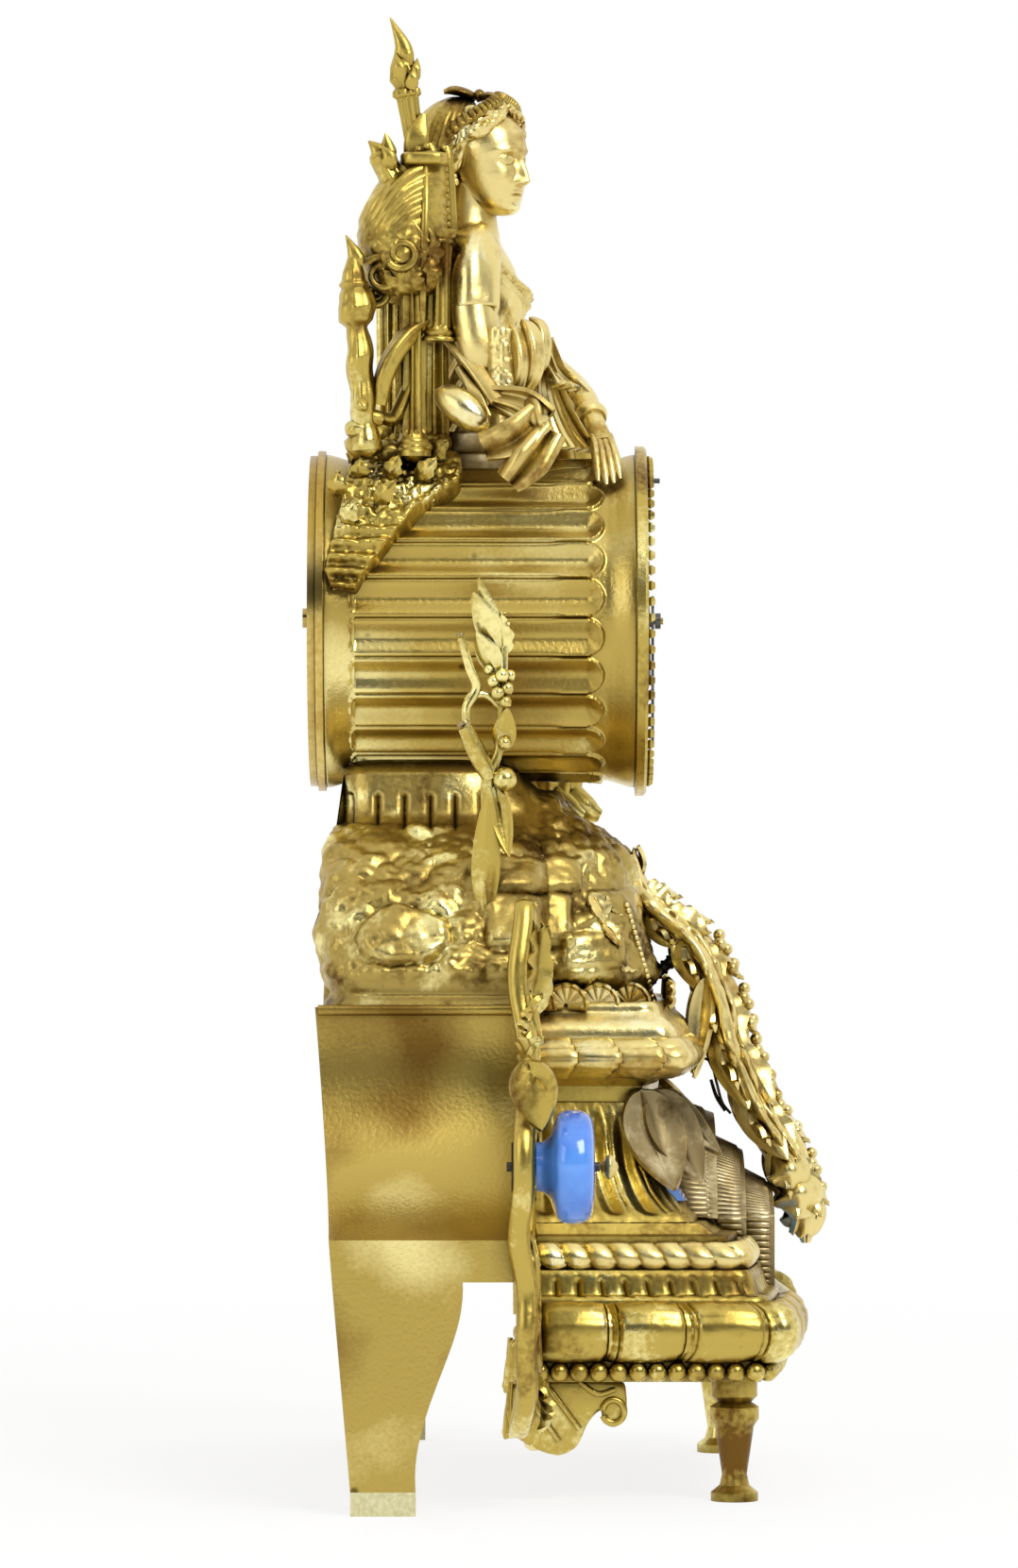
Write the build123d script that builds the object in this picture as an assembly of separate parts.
from build123d import *
import os
from math import atan2, cos, degrees, hypot, pi, radians, sin, sqrt

# Gilt figural mantel clock with a striking movement.
# Millimetres, +Z up, the dial faces -Y, X = 0 is the middle plane, the floor is Z = 0.

# Fits
SEAT_GAP = 0.1
RUN_GAP = 0.05
SHAKE = 0.3
OVERRUN = 4.0

# Base, stacked from the floor up
FRONT_FOOT_HEIGHT = 41.0
BEAD_BAND_HEIGHT = 8.0
TORUS_HEIGHT = 18.0
STEP_HEIGHT = 11.0
GADROON_HEIGHT = 9.0
LEDGE_HEIGHT = 7.0
WAIST_HEIGHT = 40.0
NECK_HEIGHT = 10.0
CORNICE_HEIGHT = 12.0
CYMA_HEIGHT = 12.0
MOUND_HEIGHT = 80.0
STONE_RELIEF = 3.0
LEDGE_RELIEF = 1.6
NECK_GROOVE_DEPTH = 2.0
NECK_GROOVE_WIDTH = 2.3
BASE_HALF_WIDTH = 108.0
BASE_FRONT = 75.0
BASE_BACK = 12.0
BASE_BOW = 7.0
BASE_WALL = 7.0
FRONT_FOOT_RADIUS = 8.5

# Rear cheeks, legs, wings
CHEEK_BACK = 86.0
CHEEK_LEAN = 7.0
CHEEK_COVE_HEIGHT = 76.0
CHEEK_FASCIA_HEIGHT = 14.0
CHEEK_TOP_HALF_WIDTH = 94.0
CHEEK_FOOT_HALF_WIDTH = 148.0
CHEEK_WALL = 4.0
LEG_THICKNESS = 9.0
LEG_TOP_DEPTH = 43.5
PAD_HEIGHT = 8.0
WING_THICKNESS = 4.0
WING_HALF_WIDTH = 166.0
WING_TOP = 203.0
ROUNDEL_RADIUS = 19.8
ROUNDEL_LEVEL = 116.6
ROUNDEL_DEPTH = 20.6
BOLT_RADIUS = 1.6
DROP_DEPTH = 27.0
DROP_HEIGHT = 25.0
DROP_THICKNESS = 11.0

# Stepped front arch
ARCH_HALF_WIDTH = 66.0
ARCH_RISE = 40.0
ARCH_REACH = 72.0
PLAQUE_THICKNESS = 3.0

# Drum case
DRUM_RADIUS = 56.0
DRUM_BORE_RADIUS = 52.3
DRUM_FRONT = 24.5
DRUM_BACK = 84.5
COLLAR_LENGTH = 11.0
COLLAR_FLARE = 2.5
SADDLE_DEPTH = 2.5
DRUM_BOLT_RADIUS = 2.2
FLUTE_COUNT = 26
FLUTE_RADIUS = 7.0
FLUTE_DEPTH = 2.2
FLANGE_RADIUS = 61.7
FLANGE_THICKNESS = 3.7
FLANGE_ROUND = 1.0
LIP_RADIUS = 51.2
LIP_THICKNESS = 1.2
BEAD_COUNT = 64
BEAD_RADIUS = 1.9
BEAD_PITCH_RADIUS = 56.5
REAR_RING_RADIUS = 60.0
REAR_RING_BORE = 47.0
REAR_RING_THICKNESS = 2.5
DOOR_THICKNESS = 2.5
HINGE_RADIUS = 1.7
HINGE_PIN_RADIUS = 0.7
HINGE_LENGTH = 15.0

# Movement
DIAL_RADIUS = 51.8
DIAL_THICKNESS = 1.6
PLATE_RADIUS = 46.0
PLATE_THICKNESS = 2.2
FRONT_PLATE_DEPTH = 17.0
PLATE_SPACING = 32.0
PILLAR_RADIUS = 2.6
PILLAR_ANGLES = (52, 128, 245, 295)
DIAL_FOOT_ANGLES = (30, 150, 270)
WHEEL_THICKNESS = 1.2
WHEEL_STANDOFF = 0.8
GREAT_WHEEL_STANDOFF = 2.8
REAR_WHEEL_STANDOFF = 2.0
BARREL_CLEARANCE = 1.0
ARBOR_RADIUS = 1.2
PIVOT_RADIUS = 0.8
GREAT_TEETH = 72
CENTRE_LEAVES = 9
GREAT_MODULE = 0.55
CENTRE_TEETH = 64
THIRD_LEAVES = 8
CENTRE_MODULE = 0.4
THIRD_TEETH = 60
ESCAPE_LEAVES = 8
THIRD_MODULE = 0.35
CANNON_TEETH = 12
MINUTE_TEETH = 36
CANNON_MODULE = 0.5
MINUTE_LEAVES = 10
HOUR_TEETH = 40
ESCAPE_TEETH = 28
ESCAPE_RADIUS = 8.5
ANCHOR_RISE = 12.5
ANCHOR_BAND = 1.6
PALLET_DROP_SHARE = 0.55
GOING_ANGLE = 200.0
STRIKE_ANGLE = 340.0
THIRD_ANGLE = 110.0
BARREL_RADIUS = 17.4
BARREL_ARBOR_RADIUS = 2.6
WINDING_SQUARE = 3.2
WINDING_HOLE_RADIUS = 4.5
CANNON_TUBE_RADIUS = 2.2
HOUR_TUBE_RADIUS = 3.3
HAND_THICKNESS = 1.0
HOUR_HAND_PROUD = 1.4
HAND_ARBOR_PROUD = 6.2
MINUTE_HAND_LENGTH = 44.0
HOUR_HAND_LENGTH = 29.0
MINUTE_HAND_ANGLE = 180.0
HOUR_HAND_ANGLE = 225.0
HAND_NUT_RADIUS = 2.8
REGULATOR_RISE = 49.5
REGULATOR_RADIUS = 0.9
REGULATOR_PROUD = 5.0
COCK_HALF_WIDTH = 12.0
COCK_BAND = 3.0
PENDULUM_DEPTH = 27.0
PENDULUM_LENGTH = 140.0
PENDULUM_SWING = 3.0
ROD_RADIUS = 1.1
BOB_RADIUS = 13.0
BOB_THICKNESS = 7.0
SLOT_HALF_WIDTH = 9.0
SLOT_DEPTH = 14.0
CRUTCH_LENGTH = 34.0
CRUTCH_STANDOFF = 1.5
BELL_RADIUS = 34.0
BELL_DEPTH = 16.0
BELL_MOUTH = 44.0
BELL_WALL = 2.0
BELL_POST_RADIUS = 2.4
BELL_OFFSET = 12.0
HAMMER_RADIUS = 40.4
HAMMER_ANGLE = 8.5
HAMMER_BLOW_ANGLE = 20.0
HAMMER_HEAD_RADIUS = 3.2
PIN_ANGLE = 65.0
PIN_WHEEL_RADIUS = 9.0
PIN_COUNT = 8
PIN_RADIUS = 0.6
STRAP_WIDTH = 7.0
STRAP_THICKNESS = 1.6

# Figure, in heads of the usual canon
HEAD = 38.0
FIGURE_DEPTH = 28.0
SEAT_HEIGHT = 10.0

# Shrine and foliage
SHRINE_HEIGHT = 150.0
SHRINE_DEPTH = 45.0
SHRINE_ROCK_THICKNESS = 15.0
SHRINE_HALF_WIDTH = 62.0
POST_RADIUS = 4.5
TORCH_RADIUS = 5.8
SPRAY_HEIGHT = 117.0
SPRAY_HALF_SPAN = 76.0
GARLAND_HEIGHT = 141.0
GARLAND_REACH = 84.0
GARLAND_HALF_WIDTH = 26.0
GARLAND_THICKNESS = 5.0
GARLAND_LEAF_HALF_WIDTH = 6.5
GARLAND_BERRY_RADIUS = 2.4
GARLAND_FIRST_BERRY = 4
GARLAND_SCREW_RADIUS = 1.9
SCREW_RUN = 17.5
SCREW_RISE = 15.5

# Shares of a layer's height, of BASE_HALF_WIDTH and of BASE_FRONT
BEAD_BAND_SHARES = ((0, 0.93, 0.87), (1, 0.93, 0.87))
TORUS_SHARES = ((0, 0.94, 0.90), (0.2, 0.985, 0.98), (0.5, 1, 1), (0.8, 0.985, 0.985), (1, 0.94, 0.92))
STEP_SHARES = ((0, 0.93, 0.89), (0.2, 0.93, 0.89), (0.25, 0.90, 0.83), (1, 0.89, 0.81))
GADROON_SHARES = ((0, 0.86, 0.77), (0.5, 0.885, 0.80), (1, 0.86, 0.76))
LEDGE_SHARES = ((0, 0.85, 0.73), (0.4, 0.85, 0.73), (0.5, 0.82, 0.66), (1, 0.80, 0.60))
WAIST_SHARES = (
    (0, 0.775, 0.555), (0.15, 0.72, 0.49), (0.35, 0.67, 0.43), (0.6, 0.63, 0.375), (1, 0.60, 0.335))
NECK_SHARES = ((0, 0.60, 0.335), (0.6, 0.61, 0.345), (1, 0.64, 0.40))
CORNICE_SHARES = (
    (0, 0.66, 0.44), (0.25, 0.71, 0.505), (0.5, 0.725, 0.525), (0.75, 0.71, 0.51), (1, 0.68, 0.48))
CYMA_SHARES = ((0, 0.68, 0.48), (0.35, 0.67, 0.455), (0.7, 0.63, 0.40), (1, 0.62, 0.385))

# Mound: shares of its height, of CHEEK_BACK (front and back depth) and of CHEEK_TOP_HALF_WIDTH
MOUND_SHARES = (
    (0, -0.38, 1.0, 0.99), (0.1, -0.365, 1.0, 0.97), (0.3, -0.315, 1.0, 0.89), (0.5, -0.255, 0.98, 0.77),
    (0.65, -0.22, 0.955, 0.64), (0.74, -0.12, 0.93, 0.51), (0.82, 0.0, 0.92, 0.43), (1, 0.175, 0.92, 0.385))
# Its front half is drawn in: width shares at the foot and at the top, and the step's depth as a share
MOUND_FRONT_SHARES = (0.74, 0.94)
MOUND_STEP_SHARE = 0.14
# Stones on its sides: front and back depth, foot and top level
STONE_SHARES = (
    (-0.043, 0.279, 0.48, 0.61), (0.0, 0.314, 0.25, 0.456), (-0.198, 0.023, 0.156, 0.2875),
    (-0.256, -0.07, 0.35, 0.475))
# Boulder on each side: depth and level of its middle, half depth and half height
BOULDER_SHARES = (0.663, 0.275, 0.174, 0.106)
# Grooves of the neck under the drum: their depths along the side, foot and top level
NECK_GROOVE_SHARES = (0.88, 0.764, 0.655, 0.55, 0.45, 0.343)
NECK_LEVEL_SHARES = (0.735, 0.92)
MOUND_LEDGE_SHARE = 0.115
MOUND_SIDES = 16
MOUND_SQUARENESS_SHARE = 0.6
ROCK_BUMP_SHARE = 0.025

# Front foot: shares of its radius and of its height
FOOT_SHARES = (
    (0, 0), (0.95, 0), (0.95, 0.07), (0.6, 0.13), (0.5, 0.22), (0.78, 0.62), (0.98, 0.68), (0.98, 0.78),
    (0.68, 0.82), (0.92, 0.87), (0.92, 1), (0, 1))

# Arch steps, splayed: shares of its half width, of its rise at the rear and at the front, and of its reach
ARCH_STEP_SHARES = ((1.0, 1.28, 0.825, 0.72), (0.87, 0.70, 0.50, 0.86), (0.73, 0.425, 0.20, 1.0))
PLAQUE_SHARE = 0.8

# Wing: shares of WING_HALF_WIDTH and of WING_TOP
WING_SHARES = (
    (0.37, 0.30), (0.37, 0.55), (0.37, 0.80), (0.55, 0.825), (0.63, 0.88), (0.655, 1.0), (0.70, 0.92),
    (0.72, 0.83), (0.77, 0.745), (0.88, 0.695), (0.985, 0.63), (1.0, 0.53), (0.945, 0.455), (0.905, 0.375),
    (0.92, 0.295), (0.885, 0.215), (0.79, 0.145), (0.72, 0.13), (0.685, 0.19), (0.64, 0.26), (0.5, 0.27))
WING_EYE_SHARES = ((0.80, 0.60, 0.055), (0.80, 0.40, 0.05), (0.83, 0.28, 0.03))

# Roundel: its place as a share of WING_HALF_WIDTH, and shares of its radius and depth, from the wing forwards
ROUNDEL_SPAN_SHARE = 0.9036
ROUNDEL_SHARES = (
    (0.53, 0), (0.55, 0.2), (0.5, 0.36), (0.72, 0.4), (0.98, 0.42), (1.0, 0.5), (0.93, 0.75), (0.75, 1.0))
KNOB_SHARES = ((0, 0), (0.3, 0), (0.3, 0.35), (0.75, 0.5), (1.0, 0.72), (0.7, 0.95), (0, 1.0))

# Apron drop: shares of its depth and of its height
DROP_SHARES = (
    (0, 1), (0, 0.48), (0.15, 0.12), (0.42, 0), (0.6, 0.2), (0.72, 0.6), (0.82, 0.34), (0.95, 0.3),
    (1.05, 0.5), (1.0, 0.8), (0.95, 1))

# Leg: shares of its top depth and of its height
LEG_FRONT_SHARES = ((1.0, 1.0), (0.98, 0.83), (0.86, 0.6), (0.73, 0.38), (0.64, 0.0))
LEG_BACK_SHARE = 0.14

# Gear tooth: shares of the module (add, ded) and of the pitch angle (root, tip)
TOOTH_TOP_SHARE = 0.85
TOOTH_ROOT_SHARE = 1.25
TOOTH_FOOT_SHARE = 0.27
TOOTH_TIP_SHARE = 0.10

# Escape tooth: shares of the wheel's radius and of the tooth's pitch; bead: shares of its radius
ESCAPE_TOOTH_SHARES = ((0.8, 0.1), (1.0, 0.62), (1.0, 0.72), (0.8, 0.75))
BEAD_SHARES = ((0.75, 0), (1.0, 0.5), (0.55, 1.25))
# Bell: shares of its radius and of its depth below the crown
BELL_SHARES = ((0, 0), (0.55, 0.08), (0.85, 0.35), (1.0, 1.0))

# Hands: shares of the length and of the length, half outlines
MINUTE_HAND_SHARES = (
    (-0.20, 0.02), (-0.16, 0.05), (-0.10, 0.03), (0, 0.08), (0.10, 0.035), (0.45, 0.02), (0.55, 0.05),
    (0.66, 0.055), (0.74, 0.025), (1.0, 0.004))
HOUR_HAND_SHARES = (
    (-0.16, 0.14), (0, 0.18), (0.16, 0.14), (0.26, 0.05), (0.45, 0.045), (0.58, 0.13), (0.72, 0.12),
    (0.82, 0.04), (1.0, 0.006))

# Figure: shares of HEAD measured from the seat (z, x, y, half width, half depth)
TORSO_SHARES = (
    (0.0, 0.10, 0.00, 0.60, 0.50), (0.40, 0.06, 0.00, 0.55, 0.46), (0.80, 0.00, 0.05, 0.40, 0.33),
    (1.05, 0.00, -0.04, 0.47, 0.38), (1.27, 0.00, -0.10, 0.52, 0.42), (1.55, 0.00, -0.02, 0.60, 0.36),
    (1.74, 0.00, 0.06, 0.55, 0.26), (1.86, 0.00, 0.08, 0.27, 0.22), (2.06, 0.00, 0.02, 0.21, 0.21))
HEAD_SHARES = (
    (2.06, 0.0, -0.10, 0.22, 0.31), (2.28, 0.0, -0.07, 0.33, 0.41), (2.55, 0.0, -0.02, 0.39, 0.48),
    (2.80, 0.0, 0.03, 0.37, 0.46), (2.97, 0.0, 0.10, 0.27, 0.34), (3.05, 0.0, 0.12, 0.12, 0.16))
VEIL_SHARES = (
    (2.02, 0.0, 0.42, 0.20, 0.12), (2.35, 0.0, 0.46, 0.33, 0.22), (2.75, 0.0, 0.36, 0.42, 0.34),
    (3.05, 0.0, 0.16, 0.36, 0.36), (3.20, 0.0, 0.06, 0.24, 0.24), (3.27, 0.0, 0.04, 0.12, 0.12))
# Limbs: shares of HEAD (x, y, z, half width, half depth)
NEAR_ARM_SHARES = (
    (-0.50, 0.10, 1.72, 0.20, 0.20), (-0.70, 0.10, 1.45, 0.23, 0.23), (-0.80, 0.06, 1.0, 0.22, 0.22),
    (-0.80, -0.02, 0.62, 0.19, 0.19), (-0.60, -0.38, 0.50, 0.16, 0.16), (-0.30, -0.66, 0.52, 0.12, 0.10))
FAR_ARM_SHARES = (
    (0.50, 0.08, 1.70, 0.20, 0.20), (0.72, -0.05, 1.40, 0.23, 0.23), (0.80, -0.42, 0.95, 0.20, 0.20),
    (0.74, -0.80, 0.50, 0.15, 0.15), (0.58, -1.05, 0.05, 0.12, 0.12), (0.50, -1.16, -0.22, 0.10, 0.07))
SKIRT_SHARES = (
    (0.15, -0.02, 0.42, 0.44, 0.50), (0.80, -0.12, 0.46, 0.42, 0.56), (1.45, -0.30, 0.30, 0.42, 0.62),
    (1.93, -0.40, -0.35, 0.36, 0.66), (2.05, -0.46, -1.6, 0.36, 0.62), (2.02, -0.52, -2.7, 0.30, 0.48),
    (1.98, -0.58, -3.55, 0.18, 0.25))
SASH_SHARES = (
    (-0.62, 0.42, 1.05, 0.06, 0.17), (-0.72, 0.10, 0.55, 0.07, 0.20), (-0.86, -0.10, 0.12, 0.08, 0.24),
    (-1.20, -0.28, -0.10, 0.07, 0.30), (-1.40, -0.50, -0.48, 0.06, 0.22))
# Seat: left, right and half depth, shares of HEAD
SEAT_SHARES = (-0.6, 1.1, 0.55)
# Lap sheets: shares of HEAD (y, z), and their width
SHEET_SHARES = ((-0.10, 0.95), (-0.62, 0.82), (-0.92, 0.38), (-0.98, -0.12), (-0.72, -0.20), (-0.40, 0.14))
SHEET_SPAN_SHARES = (-0.18, 0.42)

# Shrine: shares of SHRINE_DEPTH from its front and of SHRINE_HEIGHT above the drum's axis plus radius
SHRINE_ROCK_SHARES = (
    (0.80, 0.03), (1.0, -0.255), (0.95, -0.303), (0.745, -0.31), (0.60, -0.233), (0.31, -0.123),
    (0.09, -0.058), (0.02, -0.014), (0.09, 0.03), (0.20, 0.062), (0.31, 0.019), (0.53, 0.019))
SHRINE_FLOOR_SHARE = 0.01
GABLE_SPAN_SHARES = (-0.5, -0.32)
POST_PLACE_SHARES = ((-0.60, 0.31), (-0.34, 0.14), (-0.30, 0.50))
CANOPY_SHARES = (
    (0.37, -0.46, 0.34, 0.21, 0.26), (0.44, -0.47, 0.36, 0.27, 0.36), (0.55, -0.46, 0.37, 0.28, 0.38),
    (0.63, -0.44, 0.33, 0.24, 0.30), (0.69, -0.42, 0.28, 0.16, 0.20))
GABLE_SHARES = (
    (0.30, 0.69), (0.34, 0.80), (0.22, 0.86), (0.08, 0.78), (0.06, 0.66), (0.12, 0.60), (0.22, 0.69))
POST_SHARES = ((0, 0), (1.1, 0), (1.1, 0.06), (0.8, 0.1), (0.8, 0.88), (1.1, 0.93), (1.1, 1), (0, 1))
TORCH_SHARES = (
    (0, 0), (0.8, 0), (0.8, 0.05), (0.6, 0.1), (0.66, 0.5), (0.6, 0.62), (1.0, 0.68), (0.95, 0.76),
    (0.62, 0.82), (0.7, 0.88), (0, 1))
FLAME_SHARES = (
    (0, 0), (0.7, 0), (0.55, 0.12), (1.0, 0.3), (1.1, 0.4), (0.75, 0.5), (0.8, 0.62), (0.35, 0.85), (0, 1))
TOP_TORCH_LEAN = -12.0
SIDE_FLAME_LEAN = -24.0
# Torches: place, height share, outline, lean
SHRINE_TORCH_SHARES = (
    ((-0.70, 0.70, -0.06), 0.525, TORCH_SHARES, 0), ((-0.42, 0.28, 0.66), 0.38, TORCH_SHARES, TOP_TORCH_LEAN),
    ((-0.52, 0.46, 0.60), 0.17, FLAME_SHARES, SIDE_FLAME_LEAN))

# Garland: shares of its reach (depth) and of its height over the plinth, half width and thickness
GARLAND_SHARES = (
    (0.27, 1.0, 0.25, 0.7), (0.30, 0.91, 0.5, 1.1), (0.40, 0.85, 0.75, 1.2), (0.53, 0.78, 0.9, 1.2),
    (0.63, 0.66, 1.0, 1.2), (0.69, 0.53, 1.0, 1.1), (0.79, 0.38, 0.95, 1.0), (0.93, 0.25, 0.8, 1.0),
    (1.0, 0.11, 0.5, 1.0), (1.01, 0.03, 0.2, 0.8))
GARLAND_STEM_SHARE = 0.5
GARLAND_ROOT_SHARE = 0.2
GARLAND_TIP_SHARE = 0.6
GARLAND_RISE_SHARES = (0.5, 1.3)
BERRY_PLACE_SHARES = (0.2, 0.5, 0.8)
# Spray: shares of its height (x outwards, y, z), leaf by leaf, and the half width of a leaf
SPRAY_STEM_SHARES = (
    (0.0, 0.0, 0.0, 0.03, 0.03), (0.03, 0.01, 0.4, 0.025, 0.025), (0.02, 0.03, 0.8, 0.015, 0.015))
SPRAY_LEAF_SHARES = (
    ((0.01, 0.0, 0.05), (0.20, -0.06, 0.22)), ((0.01, 0.0, 0.12), (-0.10, 0.09, 0.32)),
    ((0.03, 0.0, 0.30), (0.22, 0.05, 0.50)), ((0.03, 0.01, 0.40), (-0.08, -0.08, 0.62)),
    ((0.03, 0.02, 0.55), (0.18, -0.05, 0.76)), ((0.02, 0.03, 0.66), (-0.09, 0.07, 0.90)),
    ((0.02, 0.03, 0.76), (0.07, -0.02, 1.0)))
SPRAY_LEAF_SHARE = 0.055
SPRAY_FOOT_SHARE = 0.375
LEAF_SHARES = ((0, 0.15, 0.15), (0.3, 0.8, 0.3), (0.6, 1.0, 0.3), (1.0, 0.1, 0.12))

# Levels and places that follow from the sizes above
bead_level = FRONT_FOOT_HEIGHT
torus_level = bead_level + BEAD_BAND_HEIGHT
step_level = torus_level + TORUS_HEIGHT
gadroon_level = step_level + STEP_HEIGHT
ledge_level = gadroon_level + GADROON_HEIGHT
waist_level = ledge_level + LEDGE_HEIGHT
neck_level = waist_level + WAIST_HEIGHT
cornice_level = neck_level + NECK_HEIGHT
cyma_level = cornice_level + CORNICE_HEIGHT
mound_level = cyma_level + CYMA_HEIGHT
mound_top = mound_level + MOUND_HEIGHT
axis_z = mound_top + DRUM_RADIUS - SADDLE_DEPTH
drum_top = axis_z + DRUM_RADIUS
cheek_front = BASE_BACK + WING_THICKNESS
leg_level = mound_level - CHEEK_COVE_HEIGHT - CHEEK_FASCIA_HEIGHT
cove_foot_level = leg_level + CHEEK_FASCIA_HEIGHT
front_plate_front = -FRONT_PLATE_DEPTH
front_plate_back = front_plate_front + PLATE_THICKNESS
back_plate_front = front_plate_back + PLATE_SPACING
back_plate_back = back_plate_front + PLATE_THICKNESS


def prism(points, y0, y1):
    """Prism between two depths over an outline of (x, z) points."""
    wire = Wire.make_polygon([Vector(x, y0, z) for x, z in points], close=True)
    return Solid.extrude(Face(wire), Vector(0, y1 - y0, 0))


def side_prism(points, x0, x1):
    """Prism between two sides over an outline of (y, z) points."""
    wire = Wire.make_polygon([Vector(x0, y, z) for y, z in points], close=True)
    return Solid.extrude(Face(wire), Vector(x1 - x0, 0, 0))


def box(x0, x1, y0, y1, z0, z1):
    """Box between three pairs of limits."""
    return Solid.make_box(x1 - x0, y1 - y0, z1 - z0, Plane(origin=(x0, y0, z0)))


def rod(radius, y0, y1, x=0, z=None):
    """Cylinder along the depth at (x, z); the drum's axis where z is left out."""
    level = axis_z if z is None else z
    return Solid.make_cylinder(radius, y1 - y0, Plane(origin=(x, y0, level), z_dir=(0, 1, 0)))


def ring(outer, inner, y0, y1, x=0, z=None):
    """Ring along the depth at (x, z)."""
    return rod(outer, y0, y1, x, z) - rod(inner, y0 - OVERRUN, y1 + OVERRUN, x, z)


def turned(shares, radius, height, x, y, z):
    """Turned piece on a vertical axis, from (radius, height) shares."""
    points = [Vector(x + r * radius, y, z + h * height) for r, h in shares]
    face = Face(Wire.make_polygon(points, close=True))
    return Solid.revolve(face, 360, Axis((x, y, z), (0, 0, 1)))


def turned_along(points, x, z):
    """Turned piece on an axis along the depth at (x, z), from (radius, y) points."""
    face = Face(Wire.make_polygon([Vector(x + r, y, z) for r, y in points], close=True))
    return Solid.revolve(face, 360, Axis((x, 0, z), (0, 1, 0)))


def strand(stations, sides, across=(0, 1, 0)):
    """Ruled loft of polygons along stations (x, y, z, half width, half depth)."""
    wires = []
    last = len(stations) - 1
    for i, (x, y, z, half_width, half_depth) in enumerate(stations):
        a = Vector(*stations[max(i - 1, 0)][:3])
        b = Vector(*stations[min(i + 1, last)][:3])
        along = (b - a).normalized()
        side = along.cross(Vector(*across)).normalized()
        up = side.cross(along).normalized()
        turn = [2 * pi * (k + 0.5) / sides for k in range(sides)]
        points = [Vector(x, y, z) + side * (half_width * cos(t)) + up * (half_depth * sin(t)) for t in turn]
        wires.append(Wire.make_polygon(points, close=True))
    return Solid.make_loft(wires, True)


def tower(shares, origin, size, sides, power=1.0):
    """Ruled loft of level sections (z, x, y, half width, half depth), shares of one size."""
    wires = []
    for z, x, y, half_width, half_depth in shares:
        points = []
        for k in range(sides):
            t = 2 * pi * (k + 0.5) / sides
            u = abs(cos(t)) ** power * (1 if cos(t) > 0 else -1)
            v = abs(sin(t)) ** power * (1 if sin(t) > 0 else -1)
            points.append(origin + Vector(x + half_width * u, y + half_depth * v, z) * size)
        wires.append(Wire.make_polygon(points, close=True))
    return Solid.make_loft(wires, True)


def leaf_blade(root, tip, half_width, across):
    """Leaf between two points: a thin strand from the shares of a leaf, flat across the given direction."""
    stations = []
    for along_share, wide_share, thick_share in LEAF_SHARES:
        c = root + (tip - root) * along_share
        stations.append((c.X, c.Y, c.Z, wide_share * half_width, thick_share * half_width))
    return strand(stations, 6, tuple(across))


def layer(level, height, shares, inset=0, back=BASE_BACK, bow=BASE_BOW):
    """One moulding of the base: level outlines with a bowed front, lofted straight."""
    wires = []
    for share, width_share, front_share in shares:
        x = width_share * BASE_HALF_WIDTH - inset
        front = -front_share * BASE_FRONT + inset
        z = level + share * height
        left = Edge.make_line((-x, back, z), (-x, front, z))
        middle = Edge.make_three_point_arc((-x, front, z), (0, front - bow, z), (x, front, z))
        right = Edge.make_line((x, front, z), (x, back, z))
        rear = Edge.make_line((x, back, z), (-x, back, z))
        wires.append(Wire([left, middle, right, rear]))
    return Solid.make_loft(wires, True)


def mouldings(stack, inset=0, back=BASE_BACK):
    """Fused stack of mouldings."""
    solids = [layer(level, height, shares, inset, back) for level, height, shares in stack]
    return solids[0].fuse(*solids[1:])


def one(shape):
    """The single solid of a boolean result."""
    solids = shape.solids()
    return max(solids, key=lambda s: s.volume)


def gear(teeth, module, phase, x, z, y0, y1, bore):
    """Straight-flanked clock wheel or pinion with a round bore; phase is in radians."""
    pitch = 2 * pi / teeth
    root = module * (teeth / 2 - TOOTH_ROOT_SHARE)
    tip = module * (teeth / 2 + TOOTH_TOP_SHARE)
    points = []
    for k in range(teeth):
        angle = phase + k * pitch
        flank = (
            (root, -TOOTH_FOOT_SHARE), (tip, -TOOTH_TIP_SHARE),
            (tip, TOOTH_TIP_SHARE), (root, TOOTH_FOOT_SHARE))
        for r, share in flank:
            points.append((x + r * cos(angle + share * pitch), z + r * sin(angle + share * pitch)))
    wheel = prism(points, y0, y1)
    return wheel - rod(bore, y0 - OVERRUN, y1 + OVERRUN, x, z) if bore else wheel


def place(distance, angle, x=0, z=None):
    """Point at a distance and an angle in degrees from (x, z), the drum's axis if left out."""
    level = axis_z if z is None else z
    return x + distance * cos(radians(angle)), level + distance * sin(radians(angle))


def both(solid):
    """The solid and its mirror image across the middle plane, as one group."""
    return Compound(children=[solid, solid.mirror(Plane.YZ)])


nodes = {}

# Plinth and front body: open-backed shells of stacked mouldings
plinth_stack = (
    (bead_level, BEAD_BAND_HEIGHT, BEAD_BAND_SHARES), (torus_level, TORUS_HEIGHT, TORUS_SHARES),
    (step_level, STEP_HEIGHT, STEP_SHARES), (gadroon_level, GADROON_HEIGHT, GADROON_SHARES),
    (ledge_level, LEDGE_HEIGHT, LEDGE_SHARES))
body_stack = (
    (waist_level, WAIST_HEIGHT, WAIST_SHARES), (neck_level, NECK_HEIGHT, NECK_SHARES),
    (cornice_level, CORNICE_HEIGHT, CORNICE_SHARES), (cyma_level, CYMA_HEIGHT, CYMA_SHARES))
hollow_back = BASE_BACK + OVERRUN
plinth_outer = mouldings(plinth_stack)
body_outer = mouldings(body_stack)
nodes["plinth"] = one(plinth_outer - mouldings(plinth_stack, BASE_WALL, hollow_back))
nodes["front_body"] = one(body_outer - mouldings(body_stack, BASE_WALL, hollow_back))

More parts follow.
